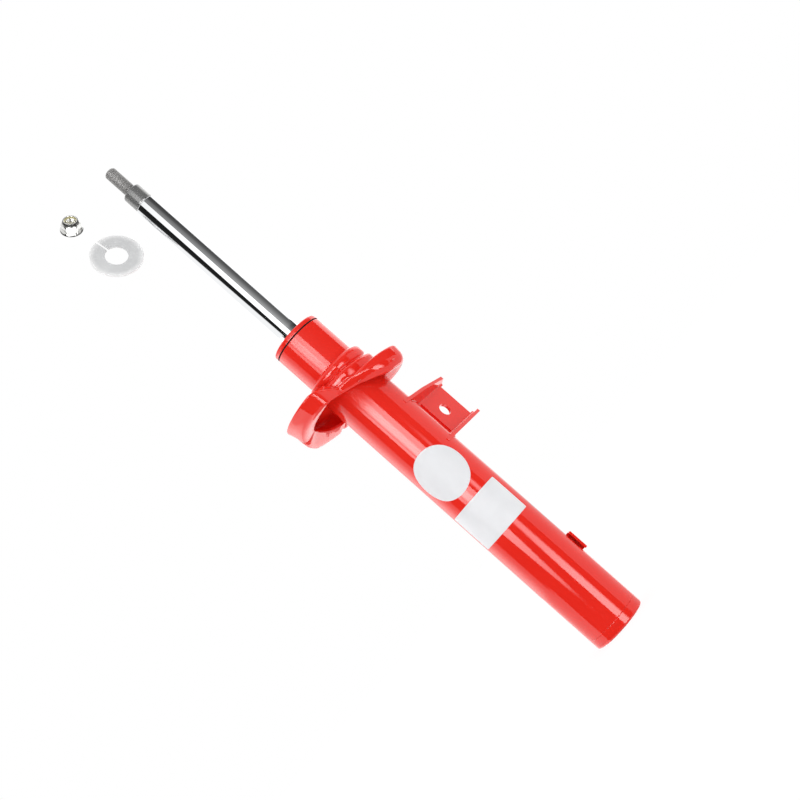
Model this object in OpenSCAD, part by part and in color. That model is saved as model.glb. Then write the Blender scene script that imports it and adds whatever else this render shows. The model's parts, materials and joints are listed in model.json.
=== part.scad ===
// Suspension strut with an offset spring seat, a link bracket and a twin-tube damper inside.
// The strut's axis is +Z, its rod points up, and the centre of its flat base is the origin.
// It is drawn fully extended, with the top nut and the split spacer ring lying loose beside it.

/* [Outer tube] */
// Height of the tube's open end above the flat base
tube_top = 373; // [312:1:450]
// Outside diameter of the lower tube, where the knuckle clamps it
tube_d = 55; // [52:0.5:66]
// Outside diameter of the necked tube above the spring seat
neck_d = 51; // [49:0.5:53]
// Wall thickness of the tube
tube_wall = 2.5; // [2:0.1:3.5]
// Distance from the tube's open end down to the top of the neck-down
neck_below_top = 43; // [40:1:52]
// Length of the cone that joins the two tube diameters
neck_cone = 8; // [5:1:12]
// Height of the pressed cap that closes the bottom
base_h = 10; // [8:0.5:14]
// Thickness of the bottom cap's floor
base_floor = 4; // [3:0.5:5]
// Radius round the bottom edge
base_round = 2.5; // [1:0.5:4]
// Chamfer on both sides of the bottom weld seam
seam = 0.4; // [0.2:0.1:0.8]
// Radius round the top edge of the closing cap
cap_round = 3; // [1:0.5:3.5]

/* [Rod] */
// Diameter of the chromed rod
rod_d = 22; // [18:0.5:26.5]
// Chromed rod that shows above the cap when fully extended
rod_out = 183; // [155:1:230]
// Diameter of the plain shoulder that carries the top mount
shoulder_d = 19.5; // [15:0.5:20]
// Length of that shoulder
shoulder_h = 18; // [12:1:24]
// Nominal diameter of the threaded stud
stud_d = 12; // [10:1:14]
// Length of the threaded stud
stud_h = 25; // [20:1:36]
// Width of the runout groove under the thread
groove_h = 3; // [2:0.5:4]
// Depth of that groove
groove_depth = 1; // [0.5:0.1:1.5]
// Distance from the guide's underside down to the piston's clamping face
piston_below_guide = 70; // [60:1:90]

/* [Spring seat] */
// Distance from the tube's open end down to the seat's highest platform
seat_below_top = 48; // [46:1:60]
// Distance from the tube's open end down to the top of the seat's collar
collar_below_top = 40; // [36:1:42]
// Extra width of the seat past its drawn outline
seat_extra = 0; // [-8:1:14]
// Thickness of the pressed sheet
seat_sheet = 3; // [2:0.5:3.5]

/* [Link bracket] */
// Distance from the tube's open end down to the centre of the link hole
link_below_top = 135; // [125:1:165]
// Distance of the link hole out from the strut's axis, along the web
link_out = 52.5; // [48:0.5:62]
// Diameter of the link hole
link_hole_d = 12; // [8:0.5:16]
// Height of the web between its bends
web_h = 36; // [30:1:44]
// Length of the web
web_len = 38; // [34:1:46]
// Thickness of the bracket's sheet
bracket_t = 3; // [2.5:0.5:4]
// Direction that the bracket points, turned from +X towards +Y
bracket_az = 50; // [40:1:60]

/* [Locating tab] */
// Height of the tab's middle above the base
tab_z = 75; // [60:1:95]
// Length of the tab along the strut
tab_len = 19.5; // [12:0.5:26]
// How far the tab stands out of the tube
tab_proud = 4.8; // [3.5:0.1:7]

/* [Stickers] */
// Diameter of the round sticker, laid flat
disc_d = 50; // [40:1:60]
// Height of its centre above the base
disc_z = 199; // [195:1:215]
// Width of the rectangular label, measured round the tube
label_w = 62; // [50:1:75]
// Height of the rectangular label
label_h = 38.5; // [30:0.5:46]
// Height of its middle above the base
label_z = 146; // [140:1:148]
// Direction of both stickers' middles, turned from +X
sticker_az = 261; // [250:1:280]

/* [Damper inside] */
// Bore of the pressure tube
bore_d = 36; // [34:0.5:38]
// Wall of the pressure tube
bore_wall = 1.5; // [1:0.1:2]
// Length of the sliding bush in the rod guide
bush_h = 20; // [14:1:22]
// Height of the piston
piston_h = 14; // [12:0.5:18]
// Height of the sliding band round the piston
band_h = 8; // [6:0.5:9]

/* [Loose nut and ring] */
// Distance across the nut's flats
nut_af = 16; // [15:0.5:19.5]
// Diameter of the nut's flange
nut_flange_d = 21; // [21:0.5:26]
// Outside diameter of the split spacer ring
ring_d = 48.5; // [40:0.5:60]
// Diameter of the hole in the split spacer ring
ring_hole_d = 21; // [17.5:0.5:26]
// Thickness of the split spacer ring
ring_h = 2; // [1.5:0.5:4]

/* [Fits] */
// Radial clearance of a sliding or turning fit
run_fit = 0.04; // [0.02:0.01:0.08]
// Radial clearance between pieces that are assembled and stay put
seat_fit = 0.05; // [0.02:0.01:0.1]
// Gap left between pieces that move apart
body_gap = 0.3; // [0.2:0.1:0.4]

/* [Hidden] */
$fn = 96;

// paint, metal and plastic colours
paint = "#e62a20";
steel = "#b9bcc0";
chrome = "#e8eaec";
dark = "#26262a";

// radii
tube_r = tube_d / 2;
neck_r = neck_d / 2;
tube_ir = tube_r - tube_wall;
neck_ir = neck_r - tube_wall;
rod_r = rod_d / 2;
bore_r = bore_d / 2;
bore_or = bore_r + bore_wall;

// heights of the tube and of what closes its top
neck_top = tube_top - neck_below_top;
neck_low = neck_top - neck_cone;
gland_h = 2.2;
cap_flange_h = 3.8;
cap_z = tube_top + gland_h;
cap_top = cap_z + cap_flange_h;
wiper_h = 7;
wiper_r = rod_r + 4;
seal_h = 8;
seal_flange_h = 3;
seal_z = tube_top - 13;
guide_h = 14;
guide_spigot = 8;
guide_z = seal_z - guide_h;
guide_low = guide_z - guide_spigot;
bush_r = rod_r + 1.5;

// the damper's foot valve
valve_flange_h = 2;
valve_z = base_floor + 8;
tube_foot = valve_z + valve_flange_h;
valve_top = tube_foot + 8;
valve_hole_r = 13;
valve_bolt_r = 3;
plate_h = 0.8;
plate_lift = 1.2;
plate_in_r = 9;
plate_out_r = 15.5;
shim_h = 0.4;
shim_count = 4;
hub_h = plate_h + plate_lift + 2;

// the rod from its stud down to the piston
rod_top = cap_top + rod_out;
shoulder_top = rod_top + shoulder_h;
stud_base = shoulder_top + groove_h;
stud_top = stud_base + stud_h;
spigot_r = 6;
spigot_bore = spigot_r + seat_fit;
buffer_h = 14;
stop_h = 6;
stop_r = bore_r - 2.5;
buffer_top = guide_low - body_gap;
clamp_z = guide_low - piston_below_guide;
retainer_h = 3;
collar_h = 5;
collar_r = 8.2;
piston_top = clamp_z - retainer_h - collar_h;
piston_low = piston_top - piston_h;
groove_r = bore_r - 1.4;
shims_low = piston_low - shim_h * shim_count;
washer_h = 2.4;
nut_top = shims_low - washer_h;
piston_nut_h = 10;
spigot_end = nut_top - piston_nut_h - 3;

// the spring seat
seat_z = tube_top - seat_below_top;
collar_top = tube_top - collar_below_top;
collar_r_out = 3;

// the link bracket, in a frame turned to bracket_az: x outward, y across the web
link_z = tube_top - link_below_top;
web_off = 8.1;
bend_in = 2;
bend_out = bend_in + bracket_t;
web_in = link_out - 17;
flange_over = 4;
flange_tip = web_in + web_len + flange_over;
flange_tip_d = 7.5;
flange_root_d = 20;
flare_top = 15;
flare_low = 7;
web_back = -web_off + bracket_t / 2;
bend_y = web_back - bend_out;

// loose pieces beside the rod's end: where the lower face's centre lies, and how it is turned
nut_place = [-61.6, 0, stud_top - 10];
nut_turn = [0, 73, -57];
nut_flange_h = 2.5;
nut_hex_h = 6.5;
nut_crown_h = 2.5;
nut_crown_r = 7.1;
nut_high = nut_flange_h + nut_hex_h;
insert_r = 6.4;
insert_h = nut_crown_h - 0.6;
ring_place = [-52.6, 0, stud_top - 58.4];
ring_turn = [0, 80, -60];

module ring(r_in, r_out, z0, z1) {
    translate([0, 0, z0])
    difference() {
        cylinder(r = r_out, h = z1 - z0);
        translate([0, 0, -1]) cylinder(r = r_in, h = z1 - z0 + 2);
    }
}

module hexagon(across, h) {
    cylinder(r = across / 2 / cos(30), h = h, $fn = 6);
}

// Evenly spaced holes through a disc, from z0 to z1
module hole_circle(count, pitch_r, hole_r, z0, z1, turn = 0) {
    for (i = [0 : count - 1])
        rotate([0, 0, turn + i * 360 / count])
        translate([pitch_r, 0, z0]) cylinder(r = hole_r, h = z1 - z0, $fn = 24);
}

// ---- the shell ----

module base_cap() {
    color(paint)
    difference() {
        rotate_extrude() {
            square([tube_r - base_round, base_h]);
            translate([0, base_round]) square([tube_r, base_h - seam - base_round]);
            translate([tube_r - base_round, base_round]) circle(base_round, $fn = 48);
            square([tube_r - seam, base_h]);
            polygon([[0, base_h - seam], [tube_r, base_h - seam], [tube_r - seam, base_h], [0, base_h]]);
        }
        translate([0, 0, base_floor]) cylinder(r = tube_ir, h = base_h);
        rotate_extrude() difference() {
            translate([tube_r - base_round, -1]) square([base_round + 1, base_round + 1]);
            translate([tube_r - base_round, base_round]) circle(base_round, $fn = 48);
        }
    }
}

module outer_tube() {
    color(paint)
    rotate_extrude() polygon([
        [tube_ir, base_h], [tube_r - seam, base_h], [tube_r, base_h + seam],
        [tube_r, neck_low], [neck_r, neck_top], [neck_r, tube_top],
        [neck_ir, tube_top], [neck_ir, neck_top], [tube_ir, neck_low]
    ]);
}

// Seat outline, one row a direction: how far the top edge reaches past the tube, the heights of
// the platform and of the rim under the highest platform, and how far the rim reaches past the tube
seat_outline = [
    [0, 27, -21, -35, 21], [45, 29.5, -18, -34, 25.5], [90, 33.5, -12, -31, 30.5],
    [135, 38, -6, -28, 35.5], [165, 41, -1, -26, 37], [184, 41.5, 0, -17, 38],
    [205, 39.5, 0, -15, 38.5], [232, 36.5, 0, -15, 36.7], [244, 32.5, 0, -15, 32.7],
    [254, 9.5, -3, -17, 9.5], [270, 7, -7, -22, 7], [290, 10.5, -11, -27, 9.5],
    [320, 21.5, -16, -36, 17.5], [345, 27.5, -20, -38, 21], [360, 27, -21, -35, 21]
];
function outline_at(az, col) =
    lookup((az + 720) % 360, [for (row = seat_outline) [row[0], row[col]]]);
function outline_smooth(az, col) =
    (outline_at(az - 5, col) + 2 * outline_at(az, col) + outline_at(az + 5, col)) / 4;
// The seat's closed section at one direction, as [radius, height] points
function seat_section(az) =
    let (
        out = tube_r + outline_smooth(az, 1) + seat_extra,
        top = seat_z + outline_smooth(az, 2),
        rim = seat_z + outline_smooth(az, 3),
        rim_out = tube_r + outline_smooth(az, 4) + seat_extra,
        wall = seat_sheet,
        neck = tube_r + collar_r_out,
        root = top + 2,
        rise = collar_top - root,
        fit = tube_r + 2 * seat_fit,
        low = min(top - wall - 1, neck_low)
    )
    [
        [neck_r + 2 * seat_fit, collar_top], [neck_r + 2.2, collar_top],
        [neck - 1, root + 0.72 * rise], [neck - 1.6, root + 0.5 * rise],
        [neck + 0.8, root + 0.25 * rise], [neck + 2, root],
        [max(out - 6, neck + 2.2), top], [out - 2, top - 0.6], [out, top - 3],
        [rim_out, rim], [rim_out - wall, rim], [out - wall, top - 4],
        [max(out - 7, neck + 1), top - wall], [neck - 1.5, top - wall - 0.5],
        [fit, low - 2], [fit, low], [fit, neck_low], [neck_r + 2 * seat_fit, neck_top]
    ];

module spring_seat() {
    steps = 72;
    size = len(seat_section(0));
    pts = [
        for (i = [0 : steps - 1])
        let (az = i * 360 / steps)
        for (p = seat_section(az)) [p[0] * cos(az), p[0] * sin(az), p[1]]
    ];
    faces = [
        for (i = [0 : steps - 1], j = [0 : size - 1])
        let (
            i2 = (i + 1) % steps,
            j2 = (j + 1) % size,
            a = i * size + j,
            b = i2 * size + j,
            c = i2 * size + j2,
            d = i * size + j2
        )
        for (f = [[a, c, b], [a, d, c]]) f
    ];
    color(paint) polyhedron(points = pts, faces = faces);
}

// Points along an arc round a centre, from angle a0 to a1
function arc(centre, r, a0, a1, steps = 6) = [
    for (i = [0 : steps])
    let (a = a0 + (a1 - a0) * i / steps)
    centre + r * [cos(a), sin(a)]
];
// The channel's bent section: a web between two flared flanges, as one outline
module channel_section(depth) {
    up = [bend_y, link_z + web_h / 2];
    low = [bend_y, link_z - web_h / 2];
    up_turn = 90 - flare_top;
    low_turn = flare_low - 90;
    up_run = depth * [-cos(flare_top), sin(flare_top)];
    low_run = depth * [-cos(flare_low), -sin(flare_low)];
    outside = concat(arc(up, bend_out, up_turn, 0), arc(low, bend_out, 0, low_turn));
    inside = concat(arc(low, bend_in, low_turn, 0), arc(up, bend_in, 0, up_turn));
    polygon(concat(
        [outside[0] + up_run], outside, [outside[len(outside) - 1] + low_run],
        [inside[0] + low_run], inside, [inside[len(inside) - 1] + up_run]
    ));
}

module link_bracket() {
    depth = flange_root_d + 8;
    half = web_h / 2;
    color(paint)
    difference() {
        rotate([0, 0, bracket_az])
        difference() {
            intersection() {
                rotate([90, 0, 90]) linear_extrude(flange_tip) channel_section(depth);
                translate([0, 0, link_z - web_h]) linear_extrude(2 * web_h) polygon([
                    [0, web_back + 1], [flange_tip, web_back + 1],
                    [flange_tip, -web_off - flange_tip_d],
                    [tube_r + 8, -web_off - flange_root_d + 4],
                    [0, -web_off - flange_root_d]
                ]);
            }
            // the web stops short of the tube, and of the flanges' tips
            translate([0, bend_y, link_z - half]) cube([web_in, 3 * bend_out, web_h]);
            translate([web_in + web_len, bend_y, link_z - half])
                cube([2 * flange_over, 3 * bend_out, web_h]);
            translate([link_out, 0, link_z]) rotate([90, 0, 0])
                cylinder(r = link_hole_d / 2, h = 4 * web_off);
        }
        translate([0, 0, link_z - 2 * web_h]) cylinder(r = tube_r, h = 4 * web_h);
    }
}

module locating_tab() {
    tab_t = 2.4;
    reach = 12;
    color(paint)
    difference() {
        translate([0, 0, tab_z - tab_len / 2]) union() {
            translate([tube_r + tab_proud - tab_t, -1, 0]) cube([tab_t, reach + 1, tab_len]);
            translate([0, reach, 0]) cube([tube_r + tab_proud, tab_t, tab_len]);
        }
        translate([0, 0, tab_z - tab_len]) cylinder(r = tube_r, h = 2 * tab_len);
    }
}

// A thin round patch wrapped on the tube, made in rings from its centre out
module round_sticker() {
    spokes = 40;
    rings = 8;
    layers = [tube_r + 2 * seat_fit, tube_r + 2 * seat_fit + 0.2];
    size = 1 + spokes * rings;
    pts = [
        for (lay = layers) each concat(
            [[lay * cos(sticker_az), lay * sin(sticker_az), disc_z]],
            [
                for (k = [1 : rings], i = [0 : spokes - 1])
                let (
                    rho = disc_d / 2 * k / rings,
                    turn = i * 360 / spokes,
                    az = sticker_az + rho * cos(turn) / tube_r * 180 / PI
                )
                [lay * cos(az), lay * sin(az), disc_z + rho * sin(turn)]
            ]
        )
    ];
    function at(lay, k, i) = lay * size + 1 + (k - 1) * spokes + i % spokes;
    inner = [
        for (i = [0 : spokes - 1]) [0, at(0, 1, i), at(0, 1, i + 1)],
        for (k = [1 : rings - 1], i = [0 : spokes - 1])
        for (f = [
            [at(0, k, i), at(0, k + 1, i), at(0, k + 1, i + 1)],
            [at(0, k, i), at(0, k + 1, i + 1), at(0, k, i + 1)]
        ]) f
    ];
    outer = [for (f = inner) [f[0] + size, f[2] + size, f[1] + size]];
    edge = [
        for (i = [0 : spokes - 1])
        for (f = [
            [at(0, rings, i), at(1, rings, i), at(1, rings, i + 1)],
            [at(0, rings, i), at(1, rings, i + 1), at(0, rings, i + 1)]
        ]) f
    ];
    color("white") polyhedron(points = pts, faces = concat(inner, outer, edge));
}

module label_plate() {
    half = label_w / tube_r * 180 / PI / 2;
    color("#e4e6ea")
    translate([0, 0, label_z - label_h / 2])
    rotate([0, 0, sticker_az - half])
    rotate_extrude(angle = 2 * half)
    translate([tube_r, 0]) square([0.2, label_h]);
}

// ---- what closes the top ----

module gland_ring() {
    color(dark) ring(neck_ir + seat_fit, neck_r - 0.3, tube_top, cap_z);
}

module closing_cap() {
    hub_r = neck_ir - seat_fit;
    cavity_r = rod_r + 6.5;
    web_z = seal_z + seal_h + 2;
    color(paint)
    rotate_extrude() polygon(concat(
        [[cavity_r, seal_z + seal_flange_h], [hub_r, seal_z + seal_flange_h]],
        [[hub_r, cap_z], [neck_r, cap_z]],
        arc([neck_r - cap_round, cap_top - cap_round], cap_round, 0, 90, 8),
        [[wiper_r, cap_top], [wiper_r, cap_top - wiper_h], [rod_r + 1, cap_top - wiper_h]],
        [[rod_r + 1, web_z], [cavity_r, web_z]]
    ));
}

module dust_wiper() {
    low = cap_top - wiper_h;
    color(dark)
    rotate_extrude() polygon([
        [rod_r + run_fit, low + 4], [rod_r + 1.6, low], [wiper_r - seat_fit, low],
        [wiper_r - seat_fit, cap_top - 0.6], [rod_r + 1.8, cap_top - 0.6],
        [rod_r + run_fit, cap_top - 0.1]
    ]);
}

module rod_seal() {
    lip_r = rod_r + 2.2;
    color(dark)
    rotate_extrude() difference() {
        polygon([
            [rod_r + run_fit, seal_z], [neck_ir - seat_fit, seal_z],
            [neck_ir - seat_fit, seal_z + seal_flange_h], [lip_r, seal_z + seal_flange_h],
            [lip_r, seal_z + seal_h], [rod_r + run_fit, seal_z + seal_h]
        ]);
        translate([lip_r + 0.5, seal_z + 5.5]) circle(1, $fn = 32);
    }
}

module garter_spring() {
    color(steel)
    rotate_extrude() translate([rod_r + 2.7, seal_z + 5.5]) circle(1, $fn = 32);
}

module rod_guide() {
    guide_r = neck_ir - seat_fit;
    spigot = bore_r - seat_fit;
    color(steel)
    difference() {
        union() {
            translate([0, 0, guide_z]) cylinder(r = guide_r, h = guide_h);
            translate([0, 0, guide_low]) cylinder(r = spigot, h = guide_spigot + 1);
        }
        translate([0, 0, guide_low - 1]) cylinder(r = bush_r, h = guide_h + guide_spigot + 2);
        // oil returns to the reserve chamber through these
        hole_circle(4, neck_ir - 1.6, 1, guide_z - 1, guide_z + guide_h + 1);
    }
}

module guide_bush() {
    middle = (guide_low + seal_z) / 2;
    color("#8c7a52") ring(rod_r + run_fit, bush_r, middle - bush_h / 2, middle + bush_h / 2);
}

// ---- the foot of the damper ----

module pressure_tube() {
    color(steel) ring(bore_r, bore_or, tube_foot, guide_z);
}

module base_valve_body() {
    skirt_r = bore_r - 3;
    color("#a8a49a")
    difference() {
        union() {
            translate([0, 0, base_floor]) cylinder(r = bore_or, h = tube_foot - base_floor);
            translate([0, 0, tube_foot]) cylinder(r = bore_r - seat_fit, h = valve_top - tube_foot);
        }
        translate([0, 0, base_floor - 1]) cylinder(r = skirt_r, h = valve_z - base_floor + 1);
        for (turn = [0, 90]) rotate([0, 0, turn])
            translate([-bore_or - 1, -5, base_floor - 1]) cube([2 * bore_or + 2, 10, 5]);
        translate([0, 0, valve_z - 1])
            cylinder(r = valve_bolt_r + seat_fit, h = valve_top - valve_z + 2);
        hole_circle(8, valve_hole_r, 1.5, valve_z - 1, valve_top + 1);
        hole_circle(4, 6.8, 1.2, valve_z - 1, valve_top + 1, 22.5);
    }
}

// The hub and head of the bolt guide the intake plate and carry its spring
module base_valve_bolt() {
    low = valve_z - shim_h * shim_count - 4.5;
    color(steel)
    rotate_extrude() polygon([
        [0, low], [valve_bolt_r, low], [valve_bolt_r, valve_top], [5.2, valve_top],
        [5.2, valve_top + hub_h], [8.5, valve_top + hub_h], [8.5, valve_top + hub_h + 2],
        [0, valve_top + hub_h + 2]
    ]);
}

module base_valve_nut() {
    nut_z = valve_z - shim_h * shim_count - 4;
    color(steel)
    difference() {
        translate([0, 0, nut_z]) hexagon(9, 4);
        translate([0, 0, nut_z - 1]) cylinder(r = valve_bolt_r + seat_fit, h = 6);
    }
}

// A stack of thin discs, each smaller than the one above it
module shim_stack(top, largest, bore, step) {
    for (i = [0 : shim_count - 1])
        ring(bore, largest - i * step, top - (i + 1) * shim_h, top - i * shim_h);
}

module compression_shims() {
    color("#9fb0bd") shim_stack(valve_z, 9, valve_bolt_r + seat_fit, 0.9);
}

module intake_plate() {
    color("#9fb0bd") ring(plate_in_r, plate_out_r, valve_top, valve_top + plate_h);
}

// A thin dished washer that presses a plate shut
module dished_spring(in_r, out_r, z0, z1) {
    t = 0.35;
    rotate_extrude() polygon([[out_r, z0], [out_r, z0 + t], [in_r, z1], [in_r, z1 - t]]);
}

module intake_spring() {
    color(steel) dished_spring(5.2 + seat_fit, 12, valve_top + plate_h + 0.1, valve_top + hub_h);
}

// ---- the rod and its piston ----

module piston_rod() {
    chamfer = 1;
    color(chrome)
    rotate_extrude() polygon([
        [0, spigot_end], [spigot_r - chamfer, spigot_end], [spigot_r, spigot_end + chamfer],
        [spigot_r, clamp_z], [rod_r, clamp_z], [rod_r, rod_top - 0.6], [rod_r - 0.6, rod_top],
        [shoulder_d / 2, rod_top], [shoulder_d / 2, shoulder_top - chamfer],
        [shoulder_d / 2 - chamfer, shoulder_top], [stud_d / 2 - groove_depth, shoulder_top],
        [stud_d / 2 - groove_depth, stud_base - groove_depth], [stud_d / 2, stud_base],
        [stud_d / 2, stud_top - 1.5], [stud_d / 2 - 1.5, stud_top], [0, stud_top]
    ]);
}

module rebound_stop() {
    top = buffer_top - buffer_h;
    color(steel) ring(rod_r, stop_r, top - stop_h, top);
}

module rebound_buffer() {
    color(dark) ring(rod_r + seat_fit, stop_r - 0.5, buffer_top - buffer_h, buffer_top);
}

module check_retainer() {
    color(steel)
    rotate_extrude() polygon([
        [spigot_bore, piston_top], [collar_r, piston_top], [collar_r, piston_top + collar_h],
        [13, piston_top + collar_h], [13, clamp_z], [spigot_bore, clamp_z]
    ]);
}

module check_spring() {
    color(steel)
    dished_spring(collar_r + seat_fit, 12.5, piston_top + plate_h + 0.1, piston_top + collar_h);
}

module check_plate() {
    color("#9fb0bd") ring(collar_r + body_gap, plate_out_r, piston_top, piston_top + plate_h);
}

module piston() {
    body_r = bore_r - 0.4;
    mid = (piston_low + piston_top) / 2;
    slot = band_h / 2 + 0.1;
    color("#8f8b84")
    difference() {
        rotate_extrude() polygon([
            [spigot_bore, piston_low], [body_r, piston_low], [body_r, mid - slot],
            [groove_r, mid - slot], [groove_r, mid + slot], [body_r, mid + slot],
            [body_r, piston_top], [spigot_bore, piston_top]
        ]);
        hole_circle(6, 13.4, 1.4, piston_low - 1, piston_top + 1);
        hole_circle(6, 9.8, 1, piston_low - 1, piston_top + 1, 30);
    }
}

module piston_band() {
    mid = (piston_low + piston_top) / 2;
    color(dark)
    ring(groove_r + run_fit, bore_r - run_fit, mid - band_h / 2, mid + band_h / 2);
}

module rebound_shims() {
    color("#9fb0bd") shim_stack(piston_low, 11.4, spigot_bore, 0.8);
}

module clamp_washer() {
    color(steel) ring(spigot_bore, 8.5, nut_top, shims_low);
}

module piston_nut() {
    color(steel)
    difference() {
        translate([0, 0, nut_top - piston_nut_h]) hexagon(18, piston_nut_h);
        translate([0, 0, nut_top - piston_nut_h - 1]) cylinder(r = spigot_bore, h = piston_nut_h + 2);
    }
}

// ---- loose pieces ----

module flange_nut() {
    thread_r = stud_d / 2 - 0.6;
    rim_h = 1;
    color("#d6d8d4")
    translate(nut_place) rotate(nut_turn)
    difference() {
        union() {
            cylinder(r = nut_flange_d / 2, h = rim_h);
            translate([0, 0, rim_h]) cylinder(
                r1 = nut_flange_d / 2, r2 = nut_af / 2 + 0.6, h = nut_flange_h - rim_h
            );
            intersection() {
                hexagon(nut_af, nut_high);
                cylinder(r1 = nut_af, r2 = nut_af / 2, h = nut_high);
            }
            translate([0, 0, nut_high - 0.5]) cylinder(r = nut_crown_r, h = nut_crown_h + 0.5);
        }
        translate([0, 0, -1]) cylinder(r = thread_r, h = nut_high + nut_crown_h + 2);
        translate([0, 0, nut_high]) cylinder(r = insert_r, h = insert_h);
    }
}

module nut_insert() {
    color("#cdbf86")
    translate(nut_place) rotate(nut_turn)
    ring(stud_d / 2 - 0.3, insert_r, nut_high, nut_high + insert_h);
}

module split_ring() {
    slit = 2;
    slit_turn = 183;
    color("#eceeee")
    translate(ring_place) rotate(ring_turn)
    difference() {
        ring(ring_hole_d / 2, ring_d / 2, 0, ring_h);
        rotate([0, 0, slit_turn]) translate([0, -slit / 2, -1]) cube([ring_d, slit, ring_h + 2]);
    }
}

base_cap();
outer_tube();
spring_seat();
link_bracket();
locating_tab();
round_sticker();
label_plate();
gland_ring();
closing_cap();
dust_wiper();
rod_seal();
garter_spring();
rod_guide();
guide_bush();
pressure_tube();
base_valve_body();
base_valve_bolt();
base_valve_nut();
compression_shims();
intake_plate();
intake_spring();
piston_rod();
rebound_stop();
rebound_buffer();
check_retainer();
check_spring();
check_plate();
piston();
piston_band();
rebound_shims();
clamp_washer();
piston_nut();
flange_nut();
nut_insert();
split_ring();
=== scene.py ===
import json
import math

import bmesh
import bpy
import numpy as np
from mathutils import Matrix, Vector


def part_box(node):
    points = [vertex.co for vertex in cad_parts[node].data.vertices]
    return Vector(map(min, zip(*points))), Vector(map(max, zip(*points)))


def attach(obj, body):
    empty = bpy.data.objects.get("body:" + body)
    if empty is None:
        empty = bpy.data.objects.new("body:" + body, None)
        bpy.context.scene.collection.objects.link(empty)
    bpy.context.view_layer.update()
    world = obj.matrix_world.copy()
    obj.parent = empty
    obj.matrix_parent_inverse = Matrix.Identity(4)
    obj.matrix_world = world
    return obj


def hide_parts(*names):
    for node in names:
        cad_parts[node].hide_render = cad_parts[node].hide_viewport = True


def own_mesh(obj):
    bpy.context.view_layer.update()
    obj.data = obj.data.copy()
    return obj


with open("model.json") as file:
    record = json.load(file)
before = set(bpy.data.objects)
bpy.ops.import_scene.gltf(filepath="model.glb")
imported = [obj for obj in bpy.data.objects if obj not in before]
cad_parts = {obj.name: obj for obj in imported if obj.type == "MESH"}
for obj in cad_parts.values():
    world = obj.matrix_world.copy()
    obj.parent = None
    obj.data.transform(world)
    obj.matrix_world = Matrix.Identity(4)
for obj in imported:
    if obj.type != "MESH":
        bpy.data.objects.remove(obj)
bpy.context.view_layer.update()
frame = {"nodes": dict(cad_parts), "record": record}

scene = bpy.context.scene
mm = 0.001

# ---- The studio ----------------------------------------------------------------------------
# The strut is shown in a white room, lying across the view from lower right to upper left.
# A long lens keeps its two ends nearly parallel, and the camera is rolled, not the strut.
lens_at = Vector((0.0, -1.0811, 0.1423))
yaw, pitch, roll = math.radians(1.05), math.radians(6.75), math.radians(-48.56)
forward = Vector((math.sin(yaw) * math.cos(pitch), math.cos(yaw) * math.cos(pitch), math.sin(pitch)))
level = forward.cross(Vector((0, 0, 1))).normalized()
right = math.cos(roll) * level + math.sin(roll) * level.cross(forward)
above = right.cross(forward)

camera = bpy.data.objects.new("camera", bpy.data.cameras.new("camera"))
scene.collection.objects.link(camera)
camera.matrix_world = Matrix.Translation(lens_at) @ Matrix((right, above, -forward)).transposed().to_4x4()
camera.data.lens = 55.8
camera.data.sensor_width = 36
scene.camera = camera
scene.view_settings.view_transform = "Standard"


def add(tree, kind, at=(0, 0), **values):
    """Adds a node to a tree and sets the inputs or settings that are named."""
    node = tree.nodes.new(kind)
    node.location = at
    for key, value in values.items():
        if key in node.inputs:
            node.inputs[key].default_value = value
        else:
            setattr(node, key, value)
    return node


def seen_rays(tree, at):
    """A value that is 1 for what the lens, a mirror or clear plastic sees, and 0 for plain light."""
    rays = add(tree, "ShaderNodeLightPath", at)
    first = add(tree, "ShaderNodeMath", (at[0] + 200, at[1]), operation="ADD", use_clamp=True)
    both = add(tree, "ShaderNodeMath", (at[0] + 400, at[1]), operation="ADD", use_clamp=True)
    tree.links.new(rays.outputs["Is Camera Ray"], first.inputs[0])
    tree.links.new(rays.outputs["Is Glossy Ray"], first.inputs[1])
    tree.links.new(first.outputs[0], both.inputs[0])
    tree.links.new(rays.outputs["Is Transmission Ray"], both.inputs[1])
    return both.outputs[0]


# The room is pure white to look at, and lights the strut evenly from all round.
room_light = 1.1
room = bpy.data.worlds.new("white_room")
scene.world = room
room.use_nodes = True
tree = room.node_tree
tree.nodes.clear()
backdrop = add(tree, "ShaderNodeBackground", (0, 0), Color=(1, 1, 1, 1), Strength=1.0)
ambient = add(tree, "ShaderNodeBackground", (0, -120), Color=(1, 1, 1, 1), Strength=room_light)
choose = add(tree, "ShaderNodeMixShader", (200, 0))
tree.links.new(seen_rays(tree, (-600, 200)), choose.inputs[0])
tree.links.new(ambient.outputs[0], choose.inputs[1])
tree.links.new(backdrop.outputs[0], choose.inputs[2])
tree.links.new(choose.outputs[0], add(tree, "ShaderNodeOutputWorld", (400, 0)).inputs["Surface"])


def skin(name, grid, closed=(True, True), crease=32):
    """A mesh of quads over points [row, column, 3] in millimetres. closed says whether the last row
    or column joins the first. Points that coincide are merged, and edges past crease degrees stay sharp."""
    rows, columns = grid.shape[:2]
    index = np.arange(rows * columns).reshape(rows, columns)
    index = np.vstack([index, index[:1]]) if closed[0] else index
    index = np.hstack([index, index[:, :1]]) if closed[1] else index
    quads = np.stack([index[:-1, :-1], index[1:, :-1], index[1:, 1:], index[:-1, 1:]], -1)
    mesh = bpy.data.meshes.new(name)
    mesh.from_pydata((grid.reshape(-1, 3) * mm).tolist(), [], quads.reshape(-1, 4).tolist())
    return dressed(name, mesh, crease)


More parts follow.
